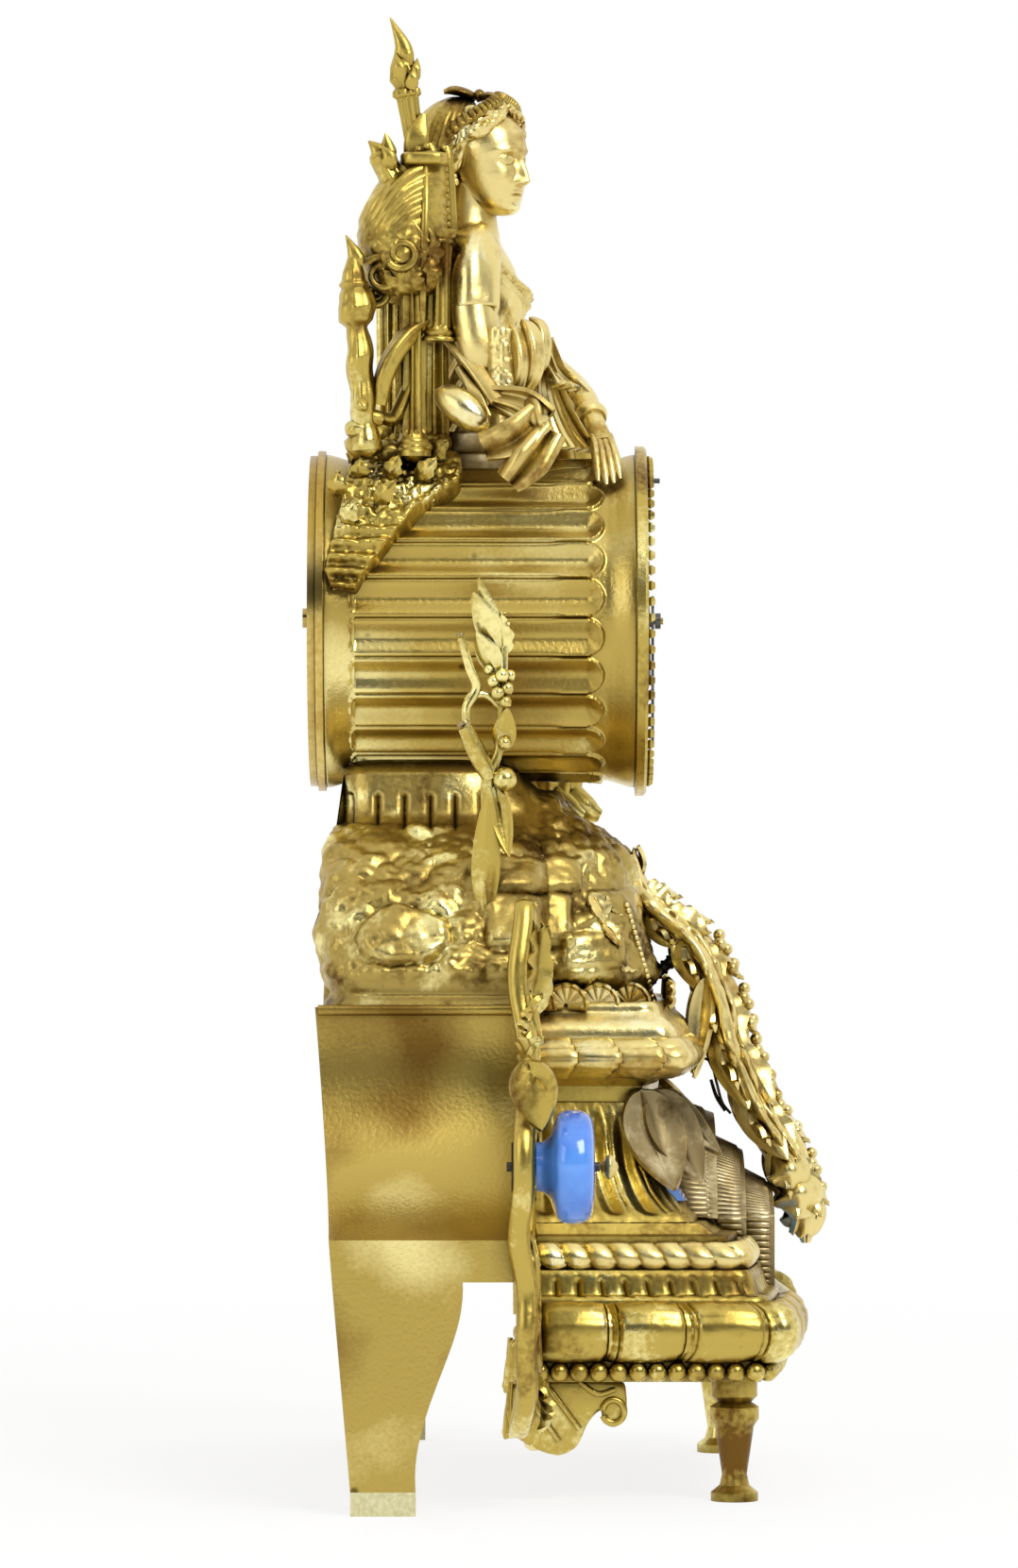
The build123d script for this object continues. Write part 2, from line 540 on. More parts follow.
# Front feet, turned
foot_x = BEAD_BAND_SHARES[0][1] * BASE_HALF_WIDTH - FRONT_FOOT_RADIUS - SEAT_GAP
foot_y = -BEAD_BAND_SHARES[0][2] * BASE_FRONT + FRONT_FOOT_RADIUS
nodes["front_feet"] = both(turned(FOOT_SHARES, FRONT_FOOT_RADIUS, FRONT_FOOT_HEIGHT, foot_x, foot_y, 0))

# Stepped arch on the front: each step falls towards its front; cut to the mouldings behind it
arch_blocks = []
arch_floors = (waist_level, gadroon_level, step_level)
spring = waist_level
rear = 0
for (wide_share, rear_share, front_share, reach_share), floor in zip(ARCH_STEP_SHARES, arch_floors):
    wide = wide_share * ARCH_HALF_WIDTH
    front = -reach_share * ARCH_REACH
    wires = []
    for y, rise_share in ((rear, rear_share), (front, front_share)):
        crown = spring + rise_share * ARCH_RISE
        edges = [
            Edge.make_line((-wide, y, floor), (wide, y, floor)),
            Edge.make_line((wide, y, floor), (wide, y, spring)) if spring > floor else None,
            Edge.make_three_point_arc((wide, y, spring), (0, y, crown), (-wide, y, spring)),
            Edge.make_line((-wide, y, spring), (-wide, y, floor)) if spring > floor else None]
        wires.append(Wire([edge for edge in edges if edge]))
    arch_blocks.append(Solid.make_loft(wires, True))
    rear = front + BASE_WALL
arch = arch_blocks[0].fuse(*arch_blocks[1:])
arch = one(arch - plinth_outer - body_outer)
plaque_wide = PLAQUE_SHARE * ARCH_STEP_SHARES[-1][0] * ARCH_HALF_WIDTH
plaque_foot = step_level + LEDGE_HEIGHT
plaque_spring = waist_level - LEDGE_HEIGHT
plaque_crown = plaque_spring + PLAQUE_SHARE * ARCH_STEP_SHARES[-1][2] * ARCH_RISE
arch_front = -ARCH_REACH
plaque_face = Face(Wire([
    Edge.make_line((-plaque_wide, arch_front, plaque_foot), (plaque_wide, arch_front, plaque_foot)),
    Edge.make_line((plaque_wide, arch_front, plaque_foot), (plaque_wide, arch_front, plaque_spring)),
    Edge.make_three_point_arc(
        (plaque_wide, arch_front, plaque_spring), (0, arch_front, plaque_crown),
        (-plaque_wide, arch_front, plaque_spring)),
    Edge.make_line((-plaque_wide, arch_front, plaque_spring), (-plaque_wide, arch_front, plaque_foot))]))
plaque = Solid.extrude(plaque_face, Vector(0, PLAQUE_THICKNESS, 0))
nodes["front_arch"] = one(arch - plaque)
nodes["front_plaque"] = plaque

# Porcelain inlays on the front of the waist, beside the arch
inlay_wide = WAIST_SHARES[0][1] * BASE_HALF_WIDTH
inlay_block = box(
    -inlay_wide, -ARCH_HALF_WIDTH - SHAKE, -BASE_FRONT, 0,
    waist_level + LEDGE_HEIGHT, neck_level - LEDGE_HEIGHT)
inlay_skin = layer(waist_level, WAIST_HEIGHT, WAIST_SHARES, -PLAQUE_THICKNESS)
inlay_side = box(
    -BASE_HALF_WIDTH, -ARCH_HALF_WIDTH - BASE_WALL, -BASE_FRONT, 0, waist_level, neck_level)
inlay_rear_shares = [(height_share, 1, front_share) for height_share, wide_share, front_share in WAIST_SHARES]
inlay_rear = layer(waist_level, WAIST_HEIGHT, inlay_rear_shares, 0, BASE_BACK, SEAT_GAP)
inlay = one((inlay_block & inlay_skin) - body_outer - inlay_side - inlay_rear)
nodes["porcelain_inlays"] = both(inlay)

# Rear cheeks with a cove, legs and pads
cheek_outer = Wire([
    Edge.make_line(
        (-CHEEK_TOP_HALF_WIDTH + CHEEK_WALL, 0, mound_level), (-CHEEK_TOP_HALF_WIDTH, 0, mound_level)),
    Edge.make_three_point_arc(
        (-CHEEK_TOP_HALF_WIDTH, 0, mound_level),
        (-CHEEK_TOP_HALF_WIDTH - (CHEEK_FOOT_HALF_WIDTH - CHEEK_TOP_HALF_WIDTH) / 4, 0,
         cove_foot_level + CHEEK_COVE_HEIGHT / 3),
        (-CHEEK_FOOT_HALF_WIDTH, 0, cove_foot_level)),
    Edge.make_line((-CHEEK_FOOT_HALF_WIDTH, 0, cove_foot_level), (-CHEEK_FOOT_HALF_WIDTH, 0, leg_level)),
    Edge.make_line(
        (-CHEEK_FOOT_HALF_WIDTH, 0, leg_level), (-CHEEK_FOOT_HALF_WIDTH + CHEEK_WALL, 0, leg_level)),
    Edge.make_line(
        (-CHEEK_FOOT_HALF_WIDTH + CHEEK_WALL, 0, leg_level),
        (-CHEEK_FOOT_HALF_WIDTH + CHEEK_WALL, 0, cove_foot_level - CHEEK_WALL)),
    Edge.make_three_point_arc(
        (-CHEEK_FOOT_HALF_WIDTH + CHEEK_WALL, 0, cove_foot_level - CHEEK_WALL),
        (-CHEEK_TOP_HALF_WIDTH + CHEEK_WALL - (CHEEK_FOOT_HALF_WIDTH - CHEEK_TOP_HALF_WIDTH) / 4, 0,
         cove_foot_level + CHEEK_COVE_HEIGHT / 3 - CHEEK_WALL),
        (-CHEEK_TOP_HALF_WIDTH + CHEEK_WALL, 0, mound_level))])
cheek_run = Solid.extrude(Face(cheek_outer), Vector(0, CHEEK_BACK + OVERRUN, 0))
cheek_side = side_prism(
    ((cheek_front, leg_level), (CHEEK_BACK - CHEEK_LEAN, leg_level), (CHEEK_BACK, mound_level),
     (cheek_front, mound_level)), -CHEEK_FOOT_HALF_WIDTH - OVERRUN, 0)
cheek = one(cheek_run & cheek_side)
nodes["cheeks"] = both(cheek)
leg_back = CHEEK_BACK - CHEEK_LEAN
leg_height = leg_level - PAD_HEIGHT
leg_edge = [Vector(-CHEEK_FOOT_HALF_WIDTH, leg_back - s * LEG_TOP_DEPTH, PAD_HEIGHT + h * leg_height)
            for s, h in LEG_FRONT_SHARES]
leg_heel = Vector(-CHEEK_FOOT_HALF_WIDTH, leg_back - LEG_BACK_SHARE * LEG_TOP_DEPTH, PAD_HEIGHT)
leg_top = Vector(-CHEEK_FOOT_HALF_WIDTH, leg_back, leg_level)
leg_face = Face(Wire([
    Edge.make_spline(leg_edge), Edge.make_line(leg_edge[-1], leg_heel), Edge.make_line(leg_heel, leg_top),
    Edge.make_line(leg_top, leg_edge[0])]))
leg = Solid.extrude(leg_face, Vector(LEG_THICKNESS, 0, 0))
nodes["rear_legs"] = both(leg)
pad = box(
    -CHEEK_FOOT_HALF_WIDTH, -CHEEK_FOOT_HALF_WIDTH + LEG_THICKNESS, leg_edge[-1].Y, leg_heel.Y, 0, PAD_HEIGHT)
nodes["leg_pads"] = both(pad)

# Pierced wings between the body and the cheeks, with the porcelain roundels bolted through them
wing_points = [Vector(-x * WING_HALF_WIDTH, BASE_BACK, z * WING_TOP) for x, z in WING_SHARES]
wing = Solid.extrude(Face(Wire([Edge.make_spline(wing_points, periodic=True)])), Vector(0, WING_THICKNESS, 0))
for x, z, r in WING_EYE_SHARES:
    wing = wing - rod(
        r * WING_HALF_WIDTH, 0, cheek_front + OVERRUN, -x * WING_HALF_WIDTH, z * WING_TOP)
roundel_x = -ROUNDEL_SPAN_SHARE * WING_HALF_WIDTH
bolt_bore = rod(BOLT_RADIUS + RUN_GAP, -BASE_FRONT, cheek_front + OVERRUN, roundel_x, ROUNDEL_LEVEL)
wing = one(wing - bolt_bore)
nodes["wings"] = both(wing)
roundel_front = BASE_BACK - ROUNDEL_DEPTH
roundel_outline = [(r * ROUNDEL_RADIUS, BASE_BACK - d * ROUNDEL_DEPTH) for r, d in ROUNDEL_SHARES]
roundel_outline = [(0, BASE_BACK)] + roundel_outline + [(0, roundel_front)]
roundel = turned_along(roundel_outline, roundel_x, ROUNDEL_LEVEL) - bolt_bore
nodes["porcelain_roundels"] = both(one(roundel))
knob_radius = 3 * BOLT_RADIUS
knob_length = 3 * knob_radius
bolt_end = roundel_front - BOLT_RADIUS
knob_outline = [(r * knob_radius, roundel_front - d * knob_length) for r, d in KNOB_SHARES]
knob = turned_along(knob_outline, roundel_x, ROUNDEL_LEVEL)
bolt = rod(BOLT_RADIUS, bolt_end, cheek_front + 3 * BOLT_RADIUS, roundel_x, ROUNDEL_LEVEL)
knob = one(knob - bolt)
nodes["roundel_knobs"] = both(knob)
nut_half = 5 * BOLT_RADIUS
nut = box(
    roundel_x - nut_half / 2, roundel_x + nut_half / 2, cheek_front, cheek_front + 2 * BOLT_RADIUS,
    ROUNDEL_LEVEL - nut_half, ROUNDEL_LEVEL + nut_half)
nut = one(nut - bolt)
nodes["roundel_bolts"] = Compound(children=[bolt, nut, bolt.mirror(Plane.YZ), nut.mirror(Plane.YZ)])

# Apron drops under the plinth's rear corners
drop_right = -BEAD_BAND_SHARES[0][1] * BASE_HALF_WIDTH
drop_foot = bead_level - DROP_HEIGHT
drop_points = [(BASE_BACK - s * DROP_DEPTH, drop_foot + h * DROP_HEIGHT) for s, h in DROP_SHARES]
nodes["apron_drops"] = both(side_prism(drop_points, drop_right, drop_right + DROP_THICKNESS))

# Rockwork mound: a hollow hill with a saddle for the drum and a slot for the pendulum
def mound_loft(inset, share_top, back_run, foot_share=1, top_share=1):
    """Ruled loft of the mound's level sections, set in by a wall and drawn in by two width shares."""
    wires = []
    for n, (h, front_share, back_share, wide_share) in enumerate(MOUND_SHARES):
        if h > share_top:
            continue
        front = front_share * CHEEK_BACK + inset
        back = back_share * CHEEK_BACK + back_run
        draw_share = foot_share + (top_share - foot_share) * h
        wide = wide_share * CHEEK_TOP_HALF_WIDTH * draw_share - inset
        level = mound_level + h * MOUND_HEIGHT
        points = []
        for k in range(MOUND_SIDES):
            t = 2 * pi * (k + 0.5) / MOUND_SIDES
            bump = 1 + (ROCK_BUMP_SHARE * sin(5 * k + 3 * n) if 0 < h < 1 else 0)
            u = abs(cos(t)) ** MOUND_SQUARENESS_SHARE * (1 if cos(t) > 0 else -1) * bump
            v = abs(sin(t)) ** MOUND_SQUARENESS_SHARE * (1 if sin(t) > 0 else -1)
            points.append(Vector(u * wide, (front + back) / 2 + v * (back - front) / 2, level))
        wires.append(Wire.make_polygon(points, close=True))
    return Solid.make_loft(wires, True)


def hill(inset, share_top=1, back_run=0):
    """The mound's outside set in by a wall: full width behind the step, drawn in before it."""
    step = MOUND_STEP_SHARE * CHEEK_BACK + inset
    behind = box(
        -2 * CHEEK_TOP_HALF_WIDTH, 2 * CHEEK_TOP_HALF_WIDTH, step, 2 * CHEEK_BACK, 0, 2 * mound_top)
    rear = mound_loft(inset, share_top, back_run) & behind
    return one(mound_loft(inset, share_top, back_run, *MOUND_FRONT_SHARES).fuse(rear))


def mound_slab(front_share, back_share, foot_share, top_share):
    """Block across the mound, from shares of its depth and height."""
    return box(
        -2 * CHEEK_TOP_HALF_WIDTH, 2 * CHEEK_TOP_HALF_WIDTH,
        front_share * CHEEK_BACK, back_share * CHEEK_BACK,
        mound_level + foot_share * MOUND_HEIGHT, mound_level + top_share * MOUND_HEIGHT)


slot = box(
    -SLOT_HALF_WIDTH, SLOT_HALF_WIDTH, PENDULUM_DEPTH - SLOT_DEPTH / 2, PENDULUM_DEPTH + SLOT_DEPTH / 2,
    mound_level, axis_z)
mound_cavity = hill(BASE_WALL, MOUND_SHARES[-2][0], OVERRUN * 2)
stone_skin = hill(-STONE_RELIEF)
ledge_skin = hill(-LEDGE_RELIEF)
groove_core = hill(NECK_GROOVE_DEPTH)
boulder_y, boulder_z, boulder_half, boulder_rise = BOULDER_SHARES
boulder_plane = Plane(
    origin=(-2 * CHEEK_TOP_HALF_WIDTH, boulder_y * CHEEK_BACK, mound_level + boulder_z * MOUND_HEIGHT),
    x_dir=(0, 1, 0), z_dir=(1, 0, 0))
boulder_wire = Wire.make_ellipse(boulder_half * CHEEK_BACK, boulder_rise * MOUND_HEIGHT, boulder_plane)
boulder = Solid.extrude(Face(boulder_wire), Vector(4 * CHEEK_TOP_HALF_WIDTH, 0, 0))
relief = [stone_skin & mound_slab(*stone) for stone in STONE_SHARES]
relief.append(stone_skin & boulder)
relief.append(ledge_skin & mound_slab(-1, MOUND_SHARES[0][2], 0, MOUND_LEDGE_SHARE))
groove_half_share = NECK_GROOVE_WIDTH / CHEEK_BACK / 2
grooves = []
for depth_share in NECK_GROOVE_SHARES:
    groove = mound_slab(depth_share - groove_half_share, depth_share + groove_half_share, *NECK_LEVEL_SHARES)
    grooves.append(groove - groove_core)
rock_outside = hill(0).fuse(*relief).cut(*grooves)
rock_outside = one(rock_outside)
drum_outline = (
    (DRUM_RADIUS + COLLAR_FLARE, -DRUM_FRONT),
    (DRUM_RADIUS + COLLAR_FLARE / 2, -DRUM_FRONT + COLLAR_LENGTH / 2),
    (DRUM_RADIUS, -DRUM_FRONT + COLLAR_LENGTH), (DRUM_RADIUS, DRUM_BACK - COLLAR_LENGTH),
    (DRUM_RADIUS + COLLAR_FLARE / 3, DRUM_BACK - COLLAR_LENGTH / 2), (DRUM_RADIUS + COLLAR_FLARE, DRUM_BACK))
drum_seat = turned_along(
    [(0, -DRUM_FRONT)] + [(r + SEAT_GAP, y) for r, y in drum_outline] + [(0, DRUM_BACK)], 0, axis_z)
drum_bolt_places = (PENDULUM_DEPTH + 1.5 * SLOT_DEPTH, PENDULUM_DEPTH + 3 * SLOT_DEPTH)
mound = rock_outside - mound_cavity - drum_seat - slot
cavity_top = mound_level + MOUND_SHARES[-2][0] * MOUND_HEIGHT
drum_bolts = []
bolt_bores = []
for y in drum_bolt_places:
    foot = cavity_top - 2 * DRUM_BOLT_RADIUS
    tip = axis_z - DRUM_BORE_RADIUS + 3 * DRUM_BOLT_RADIUS
    plane = Plane(origin=(0, y, foot))
    shank = Solid.make_cylinder(DRUM_BOLT_RADIUS, tip - foot, plane)
    head = Solid.make_cylinder(2 * DRUM_BOLT_RADIUS, cavity_top - foot, plane)
    nut_foot = axis_z - sqrt(DRUM_BORE_RADIUS ** 2 - (2 * DRUM_BOLT_RADIUS) ** 2) + SEAT_GAP
    nut = Solid.make_cylinder(2 * DRUM_BOLT_RADIUS, DRUM_BOLT_RADIUS, Plane(origin=(0, y, nut_foot)))
    drum_bolts.append(one(shank.fuse(head, nut)))
    bolt_bores.append(Solid.make_cylinder(DRUM_BOLT_RADIUS + RUN_GAP, axis_z - foot, plane))
for bore in bolt_bores:
    mound = mound - bore
nodes["rock_mound"] = one(mound)
nodes["drum_bolts"] = Compound(children=drum_bolts)

# Drum case: turned shell with long flutes, rounded at the front
drum = turned_along(
    ((DRUM_BORE_RADIUS, -DRUM_FRONT),) + drum_outline + ((DRUM_BORE_RADIUS, DRUM_BACK),), 0, axis_z)
flute_centre = DRUM_RADIUS - FLUTE_DEPTH + FLUTE_RADIUS
flute_front = -DRUM_FRONT + COLLAR_LENGTH + FLUTE_RADIUS
flute_back = DRUM_BACK - COLLAR_LENGTH
cutters = []
for k in range(FLUTE_COUNT):
    x, z = place(flute_centre, 360 * (k + 0.5) / FLUTE_COUNT)
    cutters.append(rod(FLUTE_RADIUS, flute_front, flute_back, x, z))
    cutters.append(Solid.make_sphere(FLUTE_RADIUS, Plane(origin=(x, flute_front, z)), -90, 90, 360))
drum = drum.cut(*cutters)
drum = drum - slot
for bore in bolt_bores:
    drum = drum - bore
nodes["drum_case"] = one(drum)

# Front bezel with its lip, bead ring, rear ring and door
bezel_front = -DRUM_FRONT - FLANGE_THICKNESS
lip_back = bezel_front + LIP_THICKNESS
bezel = turned_along(
    ((LIP_RADIUS, bezel_front), (FLANGE_RADIUS - FLANGE_ROUND, bezel_front),
     (FLANGE_RADIUS, bezel_front + FLANGE_ROUND), (FLANGE_RADIUS, -DRUM_FRONT),
     (DIAL_RADIUS + SEAT_GAP, -DRUM_FRONT), (DIAL_RADIUS + SEAT_GAP, lip_back),
     (LIP_RADIUS, lip_back)), 0, axis_z)
nodes["front_bezel"] = bezel
beads = []
for k in range(BEAD_COUNT):
    x, z = place(BEAD_PITCH_RADIUS, 360 * k / BEAD_COUNT)
    spin = radians(360 * k / BEAD_COUNT)
    rings = []
    for radius_share, depth_share in BEAD_SHARES:
        points = []
        for n in range(6):
            turn = spin + 2 * pi * n / 6
            r = radius_share * BEAD_RADIUS
            y = bezel_front - depth_share * BEAD_RADIUS
            points.append(Vector(x + r * cos(turn), y, z + r * sin(turn)))
        rings.append(Wire.make_polygon(points, close=True))
    beads.append(Solid.make_loft(rings, True))
nodes["bezel_beads"] = Compound(children=beads)
rear_ring_back = DRUM_BACK + REAR_RING_THICKNESS
door_front = rear_ring_back + SHAKE
door_back = door_front + DOOR_THICKNESS
hinge_x = REAR_RING_RADIUS + HINGE_RADIUS + SHAKE
hinge_y = (door_front + door_back) / 2
leaf_length = HINGE_LENGTH / 3


def knuckle(z0, z1, leaf_front, leaf_back, leaf_edge):
    """A hinge barrel with its leaf, bored for the pin."""
    barrel = Solid.make_cylinder(HINGE_RADIUS, z1 - z0, Plane(origin=(hinge_x, hinge_y, z0)))
    leaf = box(leaf_edge, hinge_x, leaf_front, leaf_back, z0, z1)
    return barrel.fuse(leaf)


hinge_bore = Solid.make_cylinder(
    HINGE_PIN_RADIUS + RUN_GAP, 2 * HINGE_LENGTH, Plane(origin=(hinge_x, hinge_y, axis_z - HINGE_LENGTH)))
ring_body = ring(REAR_RING_RADIUS, REAR_RING_BORE, DRUM_BACK, rear_ring_back)
for sign in (-1, 1):
    middle = axis_z + sign * leaf_length
    ring_body = ring_body.fuse(knuckle(
        middle - leaf_length / 2 + SHAKE / 2, middle + leaf_length / 2 - SHAKE / 2, DRUM_BACK, rear_ring_back,
        REAR_RING_RADIUS - HINGE_RADIUS))
door = rod(REAR_RING_RADIUS - HINGE_RADIUS, door_front, door_back)
door = door.fuse(knuckle(
    axis_z - leaf_length / 2 + SHAKE / 2, axis_z + leaf_length / 2 - SHAKE / 2, hinge_y - HINGE_RADIUS / 2,
    hinge_y + HINGE_RADIUS / 2, REAR_RING_RADIUS - 3 * HINGE_RADIUS))
door_knob = rod(2 * HINGE_RADIUS, door_back, door_back + HINGE_RADIUS, -REAR_RING_BORE)
nodes["rear_door"] = one(door.fuse(door_knob) - hinge_bore)
pin_half = HINGE_LENGTH / 2
hinge_pin = Solid.make_cylinder(
    HINGE_PIN_RADIUS, HINGE_LENGTH, Plane(origin=(hinge_x, hinge_y, axis_z - pin_half)))
nodes["rear_ring"] = one(ring_body.fuse(hinge_pin))

# Train: places of the arbors
barrel_distance = GREAT_MODULE * (GREAT_TEETH + CENTRE_LEAVES) / 2
going_x, going_z = place(barrel_distance, GOING_ANGLE)
strike_x, strike_z = place(barrel_distance, STRIKE_ANGLE)
third_distance = CENTRE_MODULE * (CENTRE_TEETH + THIRD_LEAVES) / 2
third_x, third_z = place(third_distance, THIRD_ANGLE)
escape_distance = THIRD_MODULE * (THIRD_TEETH + ESCAPE_LEAVES) / 2
escape_x = 0
escape_z = third_z + sqrt(escape_distance ** 2 - third_x ** 2)
anchor_z = escape_z + ANCHOR_RISE
minute_distance = CANNON_MODULE * (CANNON_TEETH + MINUTE_TEETH) / 2
hour_module = 2 * minute_distance / (MINUTE_LEAVES + HOUR_TEETH)
minute_x, minute_z = place(minute_distance, 90)
inner_front = front_plate_back + SHAKE
inner_back = back_plate_front - SHAKE
pivot_front = front_plate_front + SHAKE
pivot_back = back_plate_back - SHAKE
great_front = front_plate_back + GREAT_WHEEL_STANDOFF
third_wheel_front = front_plate_back + WHEEL_STANDOFF
rear_wheel_back = back_plate_front - REAR_WHEEL_STANDOFF
rear_wheel_front = rear_wheel_back - WHEEL_THICKNESS
barrel_back = rear_wheel_front - BARREL_CLEARANCE


def mesh_phase(leaves, angle):
    """Phase that turns a gap of the follower towards its driver, which lies back along the angle."""
    return radians(angle) + pi + pi / leaves


def arbor(x, z, radius=ARBOR_RADIUS, pivot=PIVOT_RADIUS):
    """Plain arbor between the plates, with a pivot in each of them."""
    return rod(radius, inner_front, inner_back, x, z).fuse(rod(pivot, pivot_front, pivot_back, x, z))


# Barrels: great wheel and drum, turning on their winding arbors
going_great = gear(
    GREAT_TEETH, GREAT_MODULE, radians(GOING_ANGLE) + pi, going_x, going_z, great_front,
    great_front + 2 * WHEEL_THICKNESS, 0)
going_drum = rod(BARREL_RADIUS, great_front + 2 * WHEEL_THICKNESS, barrel_back, going_x, going_z)
going_bore = rod(BARREL_ARBOR_RADIUS + RUN_GAP, -CHEEK_BACK, CHEEK_BACK, going_x, going_z)
nodes["going_barrel"] = one(going_great.fuse(going_drum) - going_bore)
strike_great = gear(
    GREAT_TEETH, GREAT_MODULE, radians(PIN_ANGLE), strike_x, strike_z, barrel_back - 2 * WHEEL_THICKNESS,
    barrel_back, 0)
strike_drum = rod(
    BARREL_RADIUS, great_front + WHEEL_THICKNESS, barrel_back - 2 * WHEEL_THICKNESS, strike_x, strike_z)
strike_bore = rod(BARREL_ARBOR_RADIUS + RUN_GAP, -CHEEK_BACK, CHEEK_BACK, strike_x, strike_z)
nodes["strike_barrel"] = one(strike_great.fuse(strike_drum) - strike_bore)
pin_x, pin_z = place(barrel_distance, PIN_ANGLE, strike_x, strike_z)
pin_pinion = gear(
    CENTRE_LEAVES, GREAT_MODULE, mesh_phase(CENTRE_LEAVES, PIN_ANGLE), pin_x, pin_z,
    barrel_back - 2 * WHEEL_THICKNESS - SHAKE, barrel_back + SHAKE, 0)
pin_wheel = rod(PIN_WHEEL_RADIUS, third_wheel_front, third_wheel_front + WHEEL_THICKNESS, pin_x, pin_z)
pin_circle = PIN_WHEEL_RADIUS - 2 * PIN_RADIUS
pin_back = third_wheel_front + 2 * WHEEL_THICKNESS
pins = []
for k in range(PIN_COUNT):
    x, z = place(pin_circle, 360 * k / PIN_COUNT, pin_x, pin_z)
    pins.append(rod(PIN_RADIUS, third_wheel_front, pin_back, x, z))
nodes["pin_arbor"] = one(arbor(pin_x, pin_z).fuse(pin_pinion, pin_wheel, *pins))
dial_front = lip_back + SEAT_GAP
dial_back = dial_front + DIAL_THICKNESS


def winding_arbor(x, z):
    """Barrel arbor with a winding square in front and a ratchet wheel behind the back plate."""
    shaft = rod(BARREL_ARBOR_RADIUS, front_plate_back + SHAKE, back_plate_back + 2 * WHEEL_THICKNESS, x, z)
    neck = rod(BARREL_ARBOR_RADIUS, front_plate_front - WHEEL_THICKNESS, front_plate_back + SHAKE, x, z)
    half = WINDING_SQUARE / 2
    square = box(x - half, x + half, dial_front + SHAKE, front_plate_front, z - half, z + half)
    ratchet = gear(
        HOUR_TEETH // 2, hour_module, 0, x, z, back_plate_back + SHAKE,
        back_plate_back + 2 * WHEEL_THICKNESS, 0)
    return one(shaft.fuse(neck, square, ratchet))


nodes["going_winding_arbor"] = winding_arbor(going_x, going_z)
nodes["strike_winding_arbor"] = winding_arbor(strike_x, strike_z)

# Centre, third and escape arbors
centre_phase = mesh_phase(CENTRE_LEAVES, GOING_ANGLE + 180)
centre_pinion = gear(
    CENTRE_LEAVES, GREAT_MODULE, centre_phase, 0, axis_z, great_front - SHAKE,
    great_front + 2 * WHEEL_THICKNESS + SHAKE, 0)
centre_wheel = gear(
    CENTRE_TEETH, CENTRE_MODULE, radians(THIRD_ANGLE), 0, axis_z, rear_wheel_front, rear_wheel_back, 0)
arbor_tip = bezel_front - HAND_ARBOR_PROUD
centre = arbor(0, axis_z).fuse(rod(ARBOR_RADIUS, arbor_tip, inner_front))
nodes["centre_arbor"] = one(centre.fuse(centre_pinion, centre_wheel))
third_to_escape = degrees(atan2(escape_z - third_z, escape_x - third_x))
third_pinion = gear(
    THIRD_LEAVES, CENTRE_MODULE, mesh_phase(THIRD_LEAVES, THIRD_ANGLE), third_x, third_z,
    rear_wheel_front - SHAKE, rear_wheel_back + SHAKE, 0)
third_wheel = gear(
    THIRD_TEETH, THIRD_MODULE, radians(third_to_escape), third_x, third_z, third_wheel_front,
    third_wheel_front + WHEEL_THICKNESS, 0)
nodes["third_arbor"] = one(arbor(third_x, third_z, PIVOT_RADIUS + SHAKE).fuse(third_pinion, third_wheel))
escape_pinion = gear(
    ESCAPE_LEAVES, THIRD_MODULE, mesh_phase(ESCAPE_LEAVES, third_to_escape), escape_x, escape_z,
    third_wheel_front - SHAKE, third_wheel_front + WHEEL_THICKNESS + SHAKE, 0)
escape_points = []
for k in range(ESCAPE_TEETH):
    start = 2 * pi * k / ESCAPE_TEETH
    for radius_share, turn_share in ESCAPE_TOOTH_SHARES:
        turn = start + 2 * pi * turn_share / ESCAPE_TEETH
        r = radius_share * ESCAPE_RADIUS
        escape_points.append((escape_x + r * cos(turn), escape_z + r * sin(turn)))
escape_wheel = prism(escape_points, rear_wheel_front, rear_wheel_back)
nodes["escape_arbor"] = one(arbor(escape_x, escape_z, PIVOT_RADIUS + SHAKE).fuse(escape_pinion, escape_wheel))

# Anchor: pallets just outside the escape wheel, arbor through the back plate, crutch beside the pendulum
swing_room = 2 * sin(radians(PENDULUM_SWING)) * ESCAPE_RADIUS + SHAKE
pallet_reach = ESCAPE_RADIUS + swing_room
pallet_drop = PALLET_DROP_SHARE * ANCHOR_RISE
pallet_half = sqrt(pallet_reach ** 2 - (ANCHOR_RISE - pallet_drop) ** 2)
anchor_points = [
    (-pallet_half, anchor_z - pallet_drop),
    (-pallet_half - ANCHOR_BAND, anchor_z - pallet_drop + ANCHOR_BAND),
    (-ANCHOR_BAND, anchor_z + ANCHOR_BAND), (ANCHOR_BAND, anchor_z + ANCHOR_BAND),
    (pallet_half + ANCHOR_BAND, anchor_z - pallet_drop + ANCHOR_BAND), (pallet_half, anchor_z - pallet_drop),
    (0, anchor_z - ANCHOR_BAND)]
anchor = prism(anchor_points, rear_wheel_front, rear_wheel_back)
crutch_front = back_plate_back + CRUTCH_STANDOFF
crutch_back = crutch_front + WHEEL_THICKNESS
anchor_arbor = rod(PIVOT_RADIUS, pivot_front, inner_front, 0, anchor_z)
anchor_arbor = anchor_arbor.fuse(rod(ARBOR_RADIUS, inner_front, crutch_back, 0, anchor_z))
crutch = box(
    -ROD_RADIUS, ROD_RADIUS, crutch_front, crutch_back, anchor_z - CRUTCH_LENGTH, anchor_z + ARBOR_RADIUS)
fork_back = PENDULUM_DEPTH + 2 * ROD_RADIUS
fork_level = anchor_z - CRUTCH_LENGTH
fork = box(
    -3 * ROD_RADIUS, 3 * ROD_RADIUS, crutch_front, fork_back, fork_level - WHEEL_THICKNESS, fork_level)
